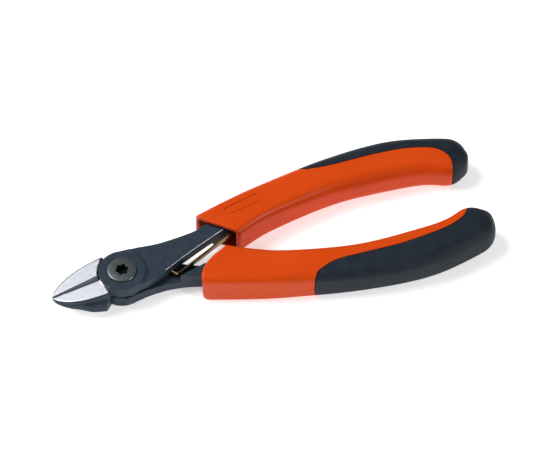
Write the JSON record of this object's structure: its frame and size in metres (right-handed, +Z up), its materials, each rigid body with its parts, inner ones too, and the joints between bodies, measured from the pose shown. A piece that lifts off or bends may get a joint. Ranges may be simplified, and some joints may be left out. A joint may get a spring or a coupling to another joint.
{
  "type": "diagonal cutting pliers",
  "caption": "Lap-joint diagonal cutting pliers with sprung, curved two-material handles; jaws hinge on a central screw.",
  "frame": {"origin": "middle of the overall box at its underside, on the surface that the handles rest on, jaws closed", "axes": "+X runs along the tool from the jaws to the handle ends, +Y towards the handle of the upper half, +Z up along the pivot axis, from the nut to the screw head"},
  "size_m": [0.16, 0.057, 0.0134],
  "materials": {
    "forged_steel": "blue-black oxide, satin",
    "plated_steel": "grey plated, satin",
    "spring_strip": "bronze-coloured spring strip",
    "orange_plastic": "hard moulded plastic, semi-gloss",
    "black_grip": "soft moulded rubber, fine grain"
  },
  "bodies": {
    "lower": {"lower_half": "forged_steel", "lower_sleeve": "orange_plastic", "lower_grip": "black_grip", "pivot_screw": "plated_steel", "pivot_nut": "plated_steel"},
    "upper": {"upper_half": "forged_steel", "upper_sleeve": "orange_plastic", "upper_grip": "black_grip", "spring_pin": "plated_steel"},
    "spring": {"return_spring": "spring_strip"}
  },
  "joints": [
    {"name": "jaw_pivot", "type": "hinge", "parent": "lower", "child": "upper", "pos_m": [-0.0539, 0, 0.0067], "axis": [0, 0, 1], "range_deg": [0, 25], "stiffness_Nm_per_rad": 0.35, "springref_deg": 28.65},
    {"name": "spring_flex", "type": "hinge", "parent": "upper", "child": "spring", "pos_m": [-0.0074, 0.0077, 0.0067], "axis": [0, 0, 1], "range_deg": [0, 15]}
  ],
  "couplings": [
    {"joint": "spring_flex", "follows": "jaw_pivot", "ratio": 0.55}
  ]
}
